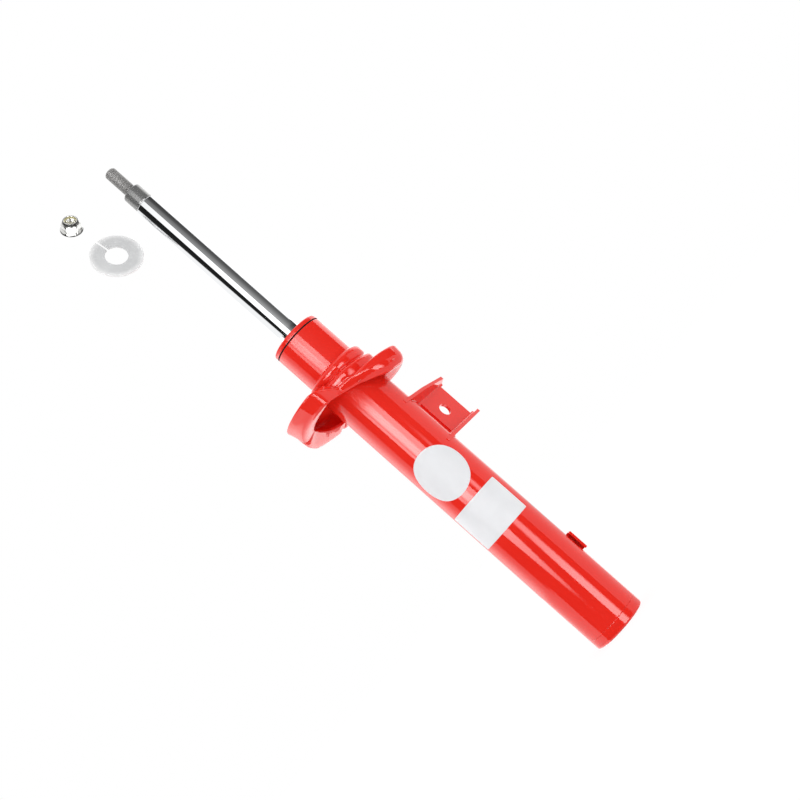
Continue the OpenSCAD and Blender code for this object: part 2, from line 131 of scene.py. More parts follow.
def dressed(name, mesh, crease):
    """Merges a mesh's doubles, turns its faces outwards, sets its sharp edges and makes the object."""
    work = bmesh.new()
    work.from_mesh(mesh)
    bmesh.ops.remove_doubles(work, verts=work.verts, dist=0.0005 * mm)
    bmesh.ops.recalc_face_normals(work, faces=work.faces)
    work.to_mesh(mesh)
    work.free()
    mesh.shade_smooth()
    mesh.set_sharp_from_angle(angle=math.radians(crease))
    piece = bpy.data.objects.new(name, mesh)
    scene.collection.objects.link(piece)
    return piece


# Cards and cloths stand round the strut, out of view, to be mirrored in its paint and its chrome.
glow = bpy.data.materials.new("studio_glow")
glow.use_nodes = True
tree = glow.node_tree
tree.nodes.clear()
level_of = add(tree, "ShaderNodeAttribute", (-200, 0), attribute_name="glow")
shine = add(tree, "ShaderNodeEmission", (0, 0))
tree.links.new(level_of.outputs["Fac"], shine.inputs["Strength"])
tree.links.new(shine.outputs[0], add(tree, "ShaderNodeOutputMaterial", (200, 0)).inputs["Surface"])
glow.cycles.emission_sampling = "NONE"


def panel(name, az, height, light, distance=2500):
    """A sheet on an arc round the strut: (distance cos a, distance sin a, z), with a between the two
    directions of az in degrees and z between the two heights in millimetres. light gives what it
    sends out, as a function of how far across and how far up a point is, both from 0 to 1."""
    across, up = np.meshgrid(np.linspace(0, 1, 49), np.linspace(0, 1, 33), indexing="ij")
    a = np.radians(az[0] + (az[1] - az[0]) * across)
    z = height[0] + (height[1] - height[0]) * up
    sheet = skin(name, np.stack([distance * np.cos(a), distance * np.sin(a), z], -1), (False, False))
    value = sheet.data.attributes.new("glow", "FLOAT", "POINT")
    value.data.foreach_set("value", (light(across, up) + 0 * up).astype(np.float32).ravel())
    sheet.data.materials.append(glow)
    sheet.visible_camera = sheet.visible_diffuse = sheet.visible_shadow = False
    sheet.visible_transmission = sheet.visible_volume_scatter = False


def bump(x, low, high, edge):
    """1 between low and high, falling smoothly to 0 within edge outside them."""
    rise = np.clip((x - low + edge) / edge, 0, 1) * np.clip((high + edge - x) / edge, 0, 1)
    return rise * rise * (3 - 2 * rise)


def key_profile(u, edge, middle, right):
    """A softbox across its width: edge all over, more in the middle and on the right, less a thin seam."""
    seam = 1 - 0.7 * bump(u, 0.19, 0.2, 0.015)
    box = edge * bump(u, 0.03, 0.97, 0.03)
    lamp = middle * bump(u, 0.34, 0.6, 0.12)
    flank = right * bump(u, 0.6, 0.97, 0.03)
    return seam * (box + lamp + flank)


# The dark room behind the lens is what the paint and the chrome mirror at their deepest
panel("black_front", (-168, -24), (-1500, 3200), lambda u, v: 0.015)

# A tall softbox beside the lens lays a broad band down the tube, the neck and the rod, in four parts
panel("key_low", (-136, -74), (190, 606),
      lambda u, v: key_profile(u, 6.3, 5, 0) * bump(v, 0, 0.95, 0.04), 2300)
panel("key_middle", (-136, -74), (725, 884), lambda u, v: key_profile(u, 4.2, 4.4, 2), 2300)
panel("key_high", (-124, -74), (890, 2600), lambda u, v: (1.7 - 1.6 * v) * bump(u, 0.06, 0.93, 0.06), 2290)
panel("key_tail", (-125, -96), (-240, 190),
      lambda u, v: (1.6 + 6.7 * v) * bump(u, 0.56 - 0.63 * v, 0.44 + 0.63 * v, 0.12)
      * bump(v, 0.28, 1, 0.12), 2300)

# A strip to its right draws a second, thinner line, which narrows towards the top
panel("strip_light", (-74.5, -42), (-1200, 520),
      lambda u, v: np.interp(v, [0.63, 0.71], [7.5, 5.2]) * bump(v, 0, 0.86, 0.12)
      * bump(u, 0.12 + 1.8 * np.clip(v - 0.633, 0, 1), 0.6, 0.3), 2250)

# Two grey cloths hang above the strip, for the soft dark side of the neck and of the rod
panel("grey_cloth_low", (-73, 20), (640, 900), lambda u, v: 0.05 + 0.3 * (1 - u) ** 3, 2210)
panel("grey_cloth_high", (-73, 6), (885, 1900),
      lambda u, v: (0.12 + 0.42 * (1 - u) ** 2) * (1 - 1.1 * v) + 0.12 * v * bump(u, 0, 0.4, 0.1), 2200)

# Pale boards close the right side, the back and the left side
panel("side_high", (20, 100), (640, 1900), lambda u, v: 2.1, 2200)
panel("dim_edge", (41, 54), (-1500, 640), lambda u, v: 0.9, 2200)
panel("side_wall", (54, 100), (-1500, 640), lambda u, v: 0.9 + 4 * np.clip(v - 0.75, 0, 1), 2200)
panel("back_glow", (60, 200), (-2000, -90), lambda u, v: 1.4 + 2.6 * (1 - v), 2150)
panel("left_wall", (-236, -166), (-1500, 880),
      lambda u, v: (1.3 + 1.3 * bump(u, 0.3, 0.45, 0.4) * (0.4 + 0.6 * v)) * bump(u, -1, 0.88, 0.12), 2200)
panel("left_wall_high", (-236, -150), (880, 2200),
      lambda u, v: 0.02 + 1.1 * bump(u, -1, 0.95 - 0.82 * v, 0.03), 2200)
panel("far_left_wall", (-275, -236), (-1500, 2600), lambda u, v: 0.9 + 0.5 * u, 2200)

# The floor is a wide white sheet under the strut's foot. It is as white as the room to look at, and
# it keeps a trace of the shadow.
floor_r, floor_gap = 6000, 0.2
paper_glow, glow_share = 1.03, 0.88
a = np.linspace(0, 2 * np.pi, 96, endpoint=False)
reach = np.array([[0], [floor_r]])
floor_grid = np.stack([reach * np.cos(a), reach * np.sin(a), np.full((2, 96), -floor_gap)], -1)
floor = skin("floor", floor_grid, (False, True))
paper = bpy.data.materials.new("white_paper")
paper.use_nodes = True
tree = paper.node_tree
plain = tree.nodes["Principled BSDF"]
plain.inputs["Base Color"].default_value = (0.86, 0.86, 0.86, 1)
plain.inputs["Roughness"].default_value = 0.9
lit = add(tree, "ShaderNodeEmission", (0, -300), Color=(1, 1, 1, 1), Strength=paper_glow)
share = add(tree, "ShaderNodeMath", (100, 300), operation="MULTIPLY")
share.inputs[1].default_value = glow_share
mixed = add(tree, "ShaderNodeMixShader", (300, 0))
tree.links.new(seen_rays(tree, (-600, 300)), share.inputs[0])
tree.links.new(share.outputs[0], mixed.inputs[0])
tree.links.new(plain.outputs[0], mixed.inputs[1])
tree.links.new(lit.outputs[0], mixed.inputs[2])
tree.links.new(mixed.outputs[0], tree.nodes["Material Output"].inputs["Surface"])
floor.data.materials.append(paper)
floor.visible_glossy = False


# ---- The red tube --------------------------------------------------------------------------
# A drawn steel tube, 55 mm across below and necked to 51 mm where the spring seat slides on.
# It is sprayed with one coat of glossy red paint, which flows out to a faint orange peel.
def group(name, inputs, outputs):
    """Makes a shader node group with named inputs and outputs. Returns its tree and its two end nodes."""
    tree = bpy.data.node_groups.new(name, "ShaderNodeTree")
    for label, value in inputs.items():
        socket = tree.interface.new_socket(label, in_out="INPUT", socket_type="NodeSocketFloat")
        socket.default_value = value
    for label, kind in outputs.items():
        tree.interface.new_socket(label, in_out="OUTPUT", socket_type=kind)
    return tree, add(tree, "NodeGroupInput", (-800, 0)), add(tree, "NodeGroupOutput", (600, 0))


# Uneven surface: a fine waviness as a normal, and a slow drift as a mask from 0 to 1.
uneven, given, result = group(
    "uneven_surface", {"Fine Scale": 500.0, "Depth": 0.1, "Drift Scale": 14.0},
    {"Normal": "NodeSocketVector", "Drift": "NodeSocketFloat"},
)
place = add(uneven, "ShaderNodeTexCoord", (-800, -200))
fine = add(uneven, "ShaderNodeTexNoise", (-500, 100), Detail=2.0)
slow = add(uneven, "ShaderNodeTexNoise", (-500, -200), Detail=3.0)
relief = add(uneven, "ShaderNodeBump", (-100, 100), Distance=0.0001)
uneven.links.new(place.outputs["Object"], fine.inputs["Vector"])
uneven.links.new(place.outputs["Object"], slow.inputs["Vector"])
uneven.links.new(given.outputs["Fine Scale"], fine.inputs["Scale"])
uneven.links.new(given.outputs["Drift Scale"], slow.inputs["Scale"])
uneven.links.new(given.outputs["Depth"], relief.inputs["Strength"])
uneven.links.new(fine.outputs["Fac"], relief.inputs["Height"])
uneven.links.new(relief.outputs["Normal"], result.inputs["Normal"])
uneven.links.new(slow.outputs["Fac"], result.inputs["Drift"])


def material(name, **values):
    """A material with one Principled shader and its constants set. Returns it, its tree and shader."""
    made = bpy.data.materials.new(name)
    made.use_nodes = True
    shader = made.node_tree.nodes["Principled BSDF"]
    for key, value in values.items():
        shader.inputs[key].default_value = value
    return made, made.node_tree, shader


def effect(tree, which, at, **values):
    """Places a node group in a material with its own values."""
    node = add(tree, "ShaderNodeGroup", at, node_tree=which)
    for key, value in values.items():
        node.inputs[key].default_value = value
    return node


def blended(tree, mask, first, second, at, kind="RGBA"):
    """Mixes two colours, or two values, by a mask. Either may be a socket or a constant. A Mix node
    takes its colours at inputs 6 and 7 and its values at 2 and 3."""
    node = add(tree, "ShaderNodeMix", at, data_type=kind)
    pair = (6, 7) if kind == "RGBA" else (2, 3)
    for index, item in zip(pair, (first, second)):
        if isinstance(item, bpy.types.NodeSocket):
            tree.links.new(item, node.inputs[index])
        else:
            node.inputs[index].default_value = (*item, 1) if kind == "RGBA" else item
    tree.links.new(mask, node.inputs[0])
    return node.outputs[2 if kind == "RGBA" else 0]


def ranged(tree, mask, low, high, at):
    """A value that goes from low to high as the mask goes from 0.3 to 0.7."""
    node = add(tree, "ShaderNodeMapRange", at)
    node.inputs["From Min"].default_value = 0.3
    node.inputs["From Max"].default_value = 0.7
    node.inputs["To Min"].default_value = low
    node.inputs["To Max"].default_value = high
    tree.links.new(mask, node.inputs["Value"])
    return node.outputs[0]


def surfaced(name, low, high, rough, fine=500.0, depth=0.1, drift=14.0, **values):
    """A finish whose colour drifts between low and high and whose roughness drifts between the two
    numbers of rough, over a fine waviness."""
    made, tree, shader = material(name, **values)
    face = effect(tree, uneven, (-700, 0), **{"Fine Scale": fine, "Depth": depth, "Drift Scale": drift})
    colour = blended(tree, ranged(tree, face.outputs["Drift"], 0, 1, (-500, 200)), low, high, (-300, 200))
    tree.links.new(colour, shader.inputs["Base Color"])
    tree.links.new(ranged(tree, face.outputs["Drift"], *rough, (-300, 0)), shader.inputs["Roughness"])
    tree.links.new(face.outputs["Normal"], shader.inputs["Normal"])
    return made


red_paint = surfaced(
    "red_paint", (0.81, 0.022, 0.013), (0.85, 0.027, 0.016), (0.06, 0.09), fine=420.0, depth=0.06
)


def fitted(piece, finish, body, slot, *stands_for):
    """Gives a new piece its finish and its body, and hides the plain CAD nodes that it stands for.
    Its normals follow its larger faces, so that a long flat face mirrors as a flat one does."""
    piece.data.materials.append(finish)
    even = piece.modifiers.new("even_normals", "WEIGHTED_NORMAL")
    even.keep_sharp = True
    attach(piece, body)
    if stands_for:
        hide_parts(*stands_for)
    return piece


def softened(corners, cut, steps=4):
    """Rounds every corner of a closed outline [..., corner, 2]. The curve leaves one side and joins the
    next at the distance cut from the corner, as (1-s)^2 start + 2s(1-s) corner + s^2 end."""
    cut = np.broadcast_to(np.asarray(cut, float), corners.shape[:-1])[..., None]

    def stepped(side):
        length = np.linalg.norm(side, axis=-1, keepdims=True)
        return corners + side / np.maximum(length, 1e-9) * np.minimum(cut, 0.48 * length)

    start = stepped(np.roll(corners, 1, axis=-2) - corners)[..., None, :]
    end = stepped(np.roll(corners, -1, axis=-2) - corners)[..., None, :]
    s = np.linspace(0, 1, steps + 1)[:, None]
    curve = (1 - s) ** 2 * start + 2 * s * (1 - s) * corners[..., None, :] + s**2 * end
    return curve.reshape(*corners.shape[:-2], -1, 2)


def turned(name, outline, steps=192, crease=32, closed=True):
    """A turned piece: a point (r, z) of the outline goes round as (r cos a, r sin a, z). The outline
    may differ from step to step. An open one runs from the axis to the axis."""
    a = np.linspace(0, 2 * np.pi, steps, endpoint=False)[:, None]
    radius, z = outline[..., 0], outline[..., 1]
    points = np.stack([radius * np.cos(a), radius * np.sin(a), z + 0 * a], -1)
    return skin(name, points, (True, closed), crease)


def span(node):
    """The lowest and the highest z of a CAD node, in millimetres."""
    low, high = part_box(node)
    return low.z / mm, high.z / mm


def radius_of(node):
    """The radius of a round CAD node about the strut's axis, in millimetres."""
    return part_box(node)[1].x / mm


tube_low, tube_high = span("outer_tube")
tube_r, neck_r = radius_of("outer_tube"), radius_of("closing_cap")
wall, neck_length, taper = 2.5, 43, 8
neck_top = tube_high - neck_length
neck_low = neck_top - taper
outline = np.array([
    [tube_r - wall, tube_low], [tube_r, tube_low], [tube_r, neck_low], [neck_r, neck_top],
    [neck_r, tube_high], [neck_r - wall, tube_high], [neck_r - wall, neck_top], [tube_r - wall, neck_low],
])
tube = turned("red_tube", softened(outline, [0.2, 0.5, 3, 3, 0.3, 0.2, 1, 1]), 256)
fitted(tube, red_paint, "root", "red_paint", "outer_tube")

# ---- The bottom cap ------------------------------------------------------------------------
# A pressed steel cap closes the tube's foot. It is welded on all round, and the weld is ground
# down until only a fine line shows under the paint.
base_low = span("base_cap")[0]
base_floor, base_round, seam = 4, 2.8, 0.35
outline = np.array([
    [0, base_low], [tube_r - 7, base_low], [tube_r, base_low], [tube_r, tube_low],
    [tube_r - wall, tube_low], [tube_r - wall, base_low + base_floor], [0, base_low + base_floor],
])
rounded = softened(outline, [0, 2, base_round, seam, 0.2, 1.5, 0], 8)
foot = turned("bottom_cap", rounded, 256, closed=False)
fitted(foot, red_paint, "root", "red_paint", "base_cap")

# ---- The closing cap, gland ring and wiper -------------------------------------------------
# A threaded cap with a well rounded edge closes the top of the tube. Its skirt leaves a line of the
# black ring under it in sight, and its bore holds the rubber wiper that keeps dirt off the rod.
cap_low, cap_high = span("closing_cap")
cap_line = span("gland_ring")[1]
wiper_r = radius_of("dust_wiper")
hub_r, hub_low = neck_r - wall - 0.05, cap_low + 2
cover_r, cover_low = radius_of("gland_ring") + 0.05, cap_line - 0.9
dish = 0.5
outline = np.array([
    [wiper_r, hub_low], [hub_r, hub_low], [hub_r, cap_line], [cover_r, cap_line],
    [cover_r, cover_low], [neck_r, cover_low], [neck_r, cap_high], [wiper_r + 3.2, cap_high],
    [wiper_r + 2.6, cap_high - dish], [wiper_r, cap_high - dish],
])
cuts = [0.2, 0.2, 0.05, 0.05, 0.1, 0.1, 3.4, 0.4, 0.3, 0.4]
cap = turned("closing_cap_skin", softened(outline, cuts, 8), 256)
fitted(cap, red_paint, "root", "red_paint", "closing_cap")


def finish_node(node, finish):
    """Gives a CAD node a new finish through its object's own slots."""
    for slot in frame["nodes"][node].material_slots:
        slot.link = "OBJECT"
        slot.material = finish


black_rubber = surfaced(
    "black_rubber", (0.006, 0.006, 0.007), (0.012, 0.012, 0.013), (0.7, 0.85),
    fine=2600.0, depth=0.35, drift=60.0, **{"Specular IOR Level": 0.12},
)
for node in ("gland_ring", "rod_seal", "rebound_buffer"):
    finish_node(node, black_rubber)

rod_r = 11.0
wiper_low, wiper_high = span("dust_wiper")
outline = np.array([
    [rod_r + 0.06, wiper_low + 4], [rod_r + 1.6, wiper_low], [wiper_r, wiper_low],
    [wiper_r, wiper_high - 0.6], [rod_r + 2.4, wiper_high - 0.6], [rod_r + 1.4, wiper_high - 1.3],
    [rod_r + 0.06, wiper_high],
])
wiper = turned("wiper_lip", softened(outline, [0.2, 0.3, 0.2, 0.4, 0.3, 0.3, 0.2]), 128)
fitted(wiper, black_rubber, "root", "black_rubber", "dust_wiper")

# ---- The spring seat -----------------------------------------------------------------------
# One pressing of 3 mm sheet, pushed down over the neck and painted with the tube. Its collar has
# two rolled beads, and its platform winds down round the tube in two lobes with a turned-down rim.
collar_h, sheet = 8, 3.0
collar_top = span("spring_seat")[1]
seat_z = collar_top - collar_h

# Direction, then reach of the top edge past the tube, platform, rim, and reach of the rim
lobes = np.array([
    [0, 26, -20, -35.5, 18.5], [45, 29.5, -18, -34, 24], [90, 33.5, -12, -31, 30],
    [135, 38, -6, -30.5, 36], [165, 41, -1, -29, 38], [178, 41.2, 0, -26, 38], [190, 41, 0, -19.5, 36.5],
    [205, 39.5, 0, -16.8, 34.2], [232, 36.5, 0, -16.6, 31.5], [244, 32.5, 0, -16.4, 27.5],
    [254, 8.5, -11.5, -18, 7.2], [270, 7.8, -12.6, -21, 6.6], [283, 8.5, -14, -23.5, 7.4],
    [290, 10.5, -14.6, -26, 9], [305, 15, -15.6, -31, 13], [320, 19.5, -16.8, -35.5, 17],
    [345, 26, -19, -37, 20], [360, 26, -20, -35.5, 18.5],
])
# Direction, then height of the valley between the two beads
valleys = np.array([
    [0, -5], [60, -3], [150, 0], [225, 0], [240, -1.6], [257, -2.7], [273, -2.8], [288, -3.5], [304, -4.5],
    [326, -5.5], [360, -5],
])
# Direction, then reach and height of the crease that grows out of the second bead on the right lobe
creases = np.array([
    [0, 24.5, -29], [90, 32.5, -20], [135, 36.7, -13], [180, 38.8, -8], [205, 36.6, -8], [232, 33.5, -8.4],
    [244, 29.4, -8.6], [254, 9.3, -13], [270, 9.2, -13.6], [283, 10.4, -15], [290, 12.4, -18],
    [305, 16.8, -23], [324, 21.8, -29], [340, 24.8, -32], [360, 24.5, -29],
])
# Direction, then reach and height of the lip where the floor under a lobe ends
lips = np.array([
    [0, 12, -31], [30, 14, -27], [45, 16, -26], [90, 20, -25], [128, 22.5, -26], [148, 22.5, -22.8],
    [161, 22.5, -19.5], [174, 22.5, -16.8], [232, 22.5, -16.3], [246, 22.5, -16.2], [254, 5.5, -17.8],
    [283, 5.5, -23.4], [290, 6.5, -25.8], [320, 12, -35], [345, 14, -35.5], [360, 12, -31],
])


def round_and_round(table, column, a, spread=4):
    """A column of a table by direction, read at a in degrees and averaged over a few degrees."""
    near = [np.interp((a + step) % 360, table[:, 0], table[:, column]) for step in (-spread, 0, 0, spread)]
    return sum(near) / 4


def varying(corners, steps):
    """The outline of a turned piece as [step, corner, 2], from corners (r, z). Each r or z is one
    number, or one for every step round the piece."""
    one = np.ones(steps)
    return np.stack([np.stack([r * one, z * one], -1) for r, z in corners], 1)


a = np.arange(0, 360, 1.0)
reach, platform, rim_h, rim_reach = (round_and_round(lobes, i, a) for i in (1, 2, 3, 4))
edge_r, top = tube_r + reach, seat_z + platform
rim_r, rim = tube_r + rim_reach, seat_z + rim_h
valley = seat_z + round_and_round(valleys, 1, a)
crease_r, crease_z = tube_r + round_and_round(creases, 1, a), seat_z + round_and_round(creases, 2, a)
lip_r, lip_z = tube_r + round_and_round(lips, 1, a), seat_z + round_and_round(lips, 2, a)

# Two small notches in the rim, left by the press
for notch_at, half, depth in ((185, 1.4, 2.4), (126, 2.4, 2.4)):
    rim = rim + depth * bump(a, notch_at - half, notch_at + half, 0.8)

bead_r, groove_r, ridge_r = tube_r + 3.6, tube_r + 1.4, tube_r + 6.2
ridge_foot = np.minimum(valley - 8.4, np.maximum(top, valley - 10))
neck_in, tube_in = neck_r + 0.1, tube_r + 0.1
shelf = np.minimum(top - sheet, neck_low)

# The section runs down over the collar's two beads, out along the platform, down to the crease and
# the rim, in along the floor to its lip, and back up on the inside. cuts rounds its corners in order.
section = varying((
    (neck_in, collar_top), (neck_r + 2.2, collar_top),
    (bead_r + 0.3, collar_top - 2.8), (bead_r - 0.1, valley + 2.8),
    (groove_r, valley + 0.4), (ridge_r, valley - 1.8),
    (ridge_r - 0.3, valley - 6.2),
    (np.minimum(ridge_r - 0.8, edge_r - 0.4), np.maximum(ridge_foot, top + 0.6)),
    (np.maximum(edge_r - 7, ridge_r - 0.2), top + 0.1), (edge_r, top),
    (crease_r, crease_z), (rim_r, rim),
    (lip_r, lip_z), (lip_r, lip_z + sheet),
    (rim_r - sheet - 1.5, np.maximum(rim, lip_z) + sheet + 0.6), (crease_r - sheet, crease_z - 0.5),
    (edge_r - sheet, top - 4.5), (np.maximum(edge_r - 8, tube_r + 4), top - sheet),
    (tube_r + 1.6, top - sheet - 0.4), (tube_in, shelf - 3), (tube_in, shelf - 1), (tube_in, neck_low),
    (neck_in, neck_top),
), len(a))
cuts = [0.3, 1.0, 2.4, 2.2, 1.0, 2.2, 2.4, 1.2, 1.6, 2.0, 3.0, 8.0,
        0.8, 0.8, 1.5, 2.0, 2.0, 3.0, 1.0, 0.4, 0.2, 0.2, 0.2]
seat = turned("spring_seat_pressing", softened(section, cuts), len(a), crease=50)
fitted(seat, red_paint, "root", "red_paint", "spring_seat")


def bead(name, path, out, size, ripples):
    """A weld bead: a rippled, slightly flattened cord along a path. A point is the path plus size times
    (0.8 cos b out + sin b side), where side is square to the path and size swells with each ripple
    and shrinks to nothing at both ends."""
    t = np.linspace(0, 1, len(path))[:, None]
    along = np.gradient(path, axis=0)
    along /= np.linalg.norm(along, axis=1, keepdims=True)
    side = np.cross(along, out)
    swell = size * (1 + 0.14 * np.abs(np.sin(np.pi * ripples * t)) - 0.07) * (1 - (2 * t - 1) ** 8) ** 0.5
    b = np.linspace(0, 2 * np.pi, 16, endpoint=False)
    across = 0.8 * np.cos(b)[None, :, None] * out[:, None] + np.sin(b)[None, :, None] * side[:, None]
    return skin(name, path[:, None] + swell[:, :, None] * across, (False, True), 70)


def recoloured(finish, mask, colour):
    """Blends a finish's colour towards another one by a mask from its own tree."""
    tree = finish.node_tree
    shader = tree.nodes["Principled BSDF"]
    plain = shader.inputs["Base Color"].links[0].from_socket
    tree.links.new(blended(tree, mask, plain, colour, (-100, 300)), shader.inputs["Base Color"])


# Specks: small scattered spots as a mask, wherever a noise is above 1 less the amount.
specks, given, result = group("specks", {"Scale": 300.0, "Amount": 0.3}, {"Mask": "NodeSocketFloat"})
place = add(specks, "ShaderNodeTexCoord", (-800, -200))
cells = add(specks, "ShaderNodeTexNoise", (-500, 0), Detail=4.0, Roughness=0.7)
excess = add(specks, "ShaderNodeMath", (-200, 0), operation="SUBTRACT")
sharper = add(specks, "ShaderNodeMath", (0, 0), operation="MULTIPLY", use_clamp=True)
sharper.inputs[1].default_value = 12.0
specks.links.new(place.outputs["Object"], cells.inputs["Vector"])
specks.links.new(given.outputs["Scale"], cells.inputs["Scale"])
specks.links.new(cells.outputs["Fac"], excess.inputs[0])
threshold = add(specks, "ShaderNodeMath", (-500, -250), operation="SUBTRACT")
threshold.inputs[0].default_value = 1.0
specks.links.new(given.outputs["Amount"], threshold.inputs[1])
specks.links.new(threshold.outputs[0], excess.inputs[1])
specks.links.new(excess.outputs[0], sharper.inputs[0])
specks.links.new(sharper.outputs[0], result.inputs["Mask"])

# Weld metal is rougher than the sheet, and specks of soot darken the paint on it
weld_red = surfaced(
    "weld_red", (0.70, 0.02, 0.012), (0.82, 0.035, 0.02), (0.12, 0.3),
    fine=900.0, depth=0.5, drift=300.0,
)
soot = effect(weld_red.node_tree, specks, (-900, 400), Scale=420.0, Amount=0.40)
recoloured(weld_red, soot.outputs["Mask"], (0.03, 0.012, 0.01))

# Two short tacks stand on the skirt, where the seat was held while it was welded
tack_half, tack_size = 3.2, 0.9
for name, tack_az, tack_z, tack_r in (("tack_front", 284, -21.8, 9.0), ("tack_right", 327, -30.2, 21.9)):
    swing = np.radians(tack_az + np.linspace(-tack_half, tack_half, 12))
    out = np.stack([np.cos(swing), np.sin(swing), 0 * swing], -1)
    path = out * (tube_r + tack_r) + np.array([0, 0, seat_z + tack_z])
    fitted(bead(name, path, out, tack_size, 2), weld_red, "root", "red_paint")

# ---- The link bracket ----------------------------------------------------------------------
# A channel bent from 3 mm sheet, whose web carries the stabiliser link in one round hole. Its two
# flanges flare apart, and each is welded to the tube at its root before the paint goes on.
def eased_copy(name, node, width, crease=40):
    """A copy of a CAD solid with its triangles merged into whole faces. Its edges past crease degrees
    are rounded to a width in millimetres."""
    mesh = frame["nodes"][node].data.copy()
    if "custom_normal" in mesh.attributes:
        mesh.attributes.remove(mesh.attributes["custom_normal"])
    mesh.materials.clear()
    work = bmesh.new()
    work.from_mesh(mesh)
    bmesh.ops.remove_doubles(work, verts=work.verts, dist=0.002 * mm)
    bmesh.ops.dissolve_limit(work, angle_limit=math.radians(0.5), verts=work.verts, edges=work.edges)
    work.to_mesh(mesh)
    work.free()
    piece = dressed(name, mesh, crease)
    bevel = piece.modifiers.new("eased_edges", "BEVEL")
    bevel.width, bevel.segments, bevel.limit_method = width * mm, 3, "ANGLE"
    bevel.angle_limit = math.radians(crease)
    bevel.use_clamp_overlap = True
    return piece


bracket = eased_copy("link_bracket_pressing", "link_bracket", 0.5)
fitted(bracket, red_paint, "root", "red_paint", "link_bracket")


def root_path(az, y_from, y_to, z_from, z_to, count=40):
    """A path on the tube's skin: at a distance y across the direction az, x is the root of r^2 - y^2,
    and the point is turned by az. Returns the points and the directions outwards."""
    y = np.linspace(y_from, y_to, count)
    x = np.sqrt(tube_r**2 - y**2)
    turn = math.radians(az)
    flat = np.stack([x * math.cos(turn) - y * math.sin(turn), x * math.sin(turn) + y * math.cos(turn)], -1)
    out = np.hstack([flat / tube_r, np.zeros((count, 1))])
    return np.hstack([flat, np.linspace(z_from, z_to, count)[:, None]]), out


# Each flange has a bead along its outer face and a shorter one along its inner face
bracket_az, flange_end = 50, -26.6
low_flange, high_flange = span("link_bracket")
for name, y_to, z_from, z_to, size in (
    ("weld_high_outer", -10, high_flange - 0.2, high_flange - 4.4, 1.5),
    ("weld_low_outer", -10, low_flange + 0.2, low_flange + 2.4, 1.5),
    ("weld_high_inner", -15, high_flange - 5.0, high_flange - 7.8, 1.2),
    ("weld_low_inner", -15, low_flange + 3.6, low_flange + 5.0, 1.2),
):
    path, out = root_path(bracket_az, flange_end, y_to, z_from, z_to)
    fitted(bead(name, path, out, size, 9), weld_red, "root", "red_paint")

# ---- The locating tab ----------------------------------------------------------------------
# A small bent plate spot-welded low on the tube. It drops into the knuckle's slot and stops the
# strut from turning in the clamp.
tab = eased_copy("locating_tab_pressing", "locating_tab", 0.35)
fitted(tab, red_paint, "root", "red_paint", "locating_tab")
tab_low, tab_high = span("locating_tab")
tab_y, weld_inset = 14.6, 2
path, out = root_path(0, tab_y, tab_y, tab_low + weld_inset, tab_high - weld_inset)
fitted(bead("weld_tab", path, out, 1.0, 7), red_paint, "root", "red_paint")


# ---- The two stickers ----------------------------------------------------------------------
# A round white disc and a rectangular silver-white label, both plain film stuck on the paint.
# Each is a thin sheet wrapped round the tube, with soft edges.
film, sticker_az = 0.15, 261


def wrapped(name, sideways, upward, centre_az, centre_z):
    """A film on the tube. A flat point (x, y) goes to direction centre + x / r and height centre + y.
    Its outline is drawn on the tube and again a film's thickness above, and shrinks to the centre."""
    shrink = np.concatenate([[1, 1], np.linspace(0.992, 0, 24)])[:, None]
    lift = np.concatenate([[0.02, film], np.full(24, film + 0.05)])[:, None]
    turn = np.radians(centre_az) + shrink * sideways / tube_r
    radius = tube_r + lift
    flat = np.stack([radius * np.cos(turn), radius * np.sin(turn), centre_z + shrink * upward], -1)
    return skin(name, flat, (False, True), 60)


disc_low, disc_high = span("round_sticker")
disc_r, disc_z = (disc_high - disc_low) / 2, (disc_high + disc_low) / 2
b = np.linspace(0, 2 * np.pi, 128, endpoint=False)
disc = wrapped("round_label", disc_r * np.cos(b), disc_r * np.sin(b), sticker_az, disc_z)
white_film = surfaced(
    "white_film", (0.76, 0.77, 0.79), (0.80, 0.81, 0.83), (0.5, 0.6),
    fine=1500.0, depth=0.12, drift=45.0,
)
fitted(disc, white_film, "root", "white_sticker", "round_sticker")


def rounded_plate(width, height, corner_r, count=240):
    """Evenly spaced points x, y round a rectangle. Each quarter circle is corner + corner_r (cos b,
    sin b), with its corner at (+-(width / 2 - corner_r), +-(height / 2 - corner_r))."""
    b = (np.arange(4)[:, None] * np.pi / 2 + np.linspace(0, np.pi / 2, 8)).ravel()
    side = np.repeat([[1, 1], [-1, 1], [-1, -1], [1, -1]], 8, axis=0)
    corner = side * np.array([width / 2 - corner_r, height / 2 - corner_r])
    edge = corner + corner_r * np.stack([np.cos(b), np.sin(b)], -1)
    edge = np.vstack([edge, edge[:1]])
    way = np.concatenate([[0], np.cumsum(np.hypot(*np.diff(edge, axis=0).T))])
    even = np.linspace(0, way[-1], count, endpoint=False)
    return np.interp(even, way, edge[:, 0]), np.interp(even, way, edge[:, 1])


label_low, label_high = span("label_plate")
label_w, label_corner = 62, 1.2
x, y = rounded_plate(label_w, label_high - label_low, label_corner)
label = wrapped("silver_label", x, y, sticker_az, (label_low + label_high) / 2)
silver_film = surfaced(
    "silver_film", (0.74, 0.75, 0.77), (0.82, 0.83, 0.85), (0.42, 0.52),
    fine=1800.0, depth=0.1, drift=38.0,
)
fitted(label, silver_film, "root", "silver_label", "label_plate")

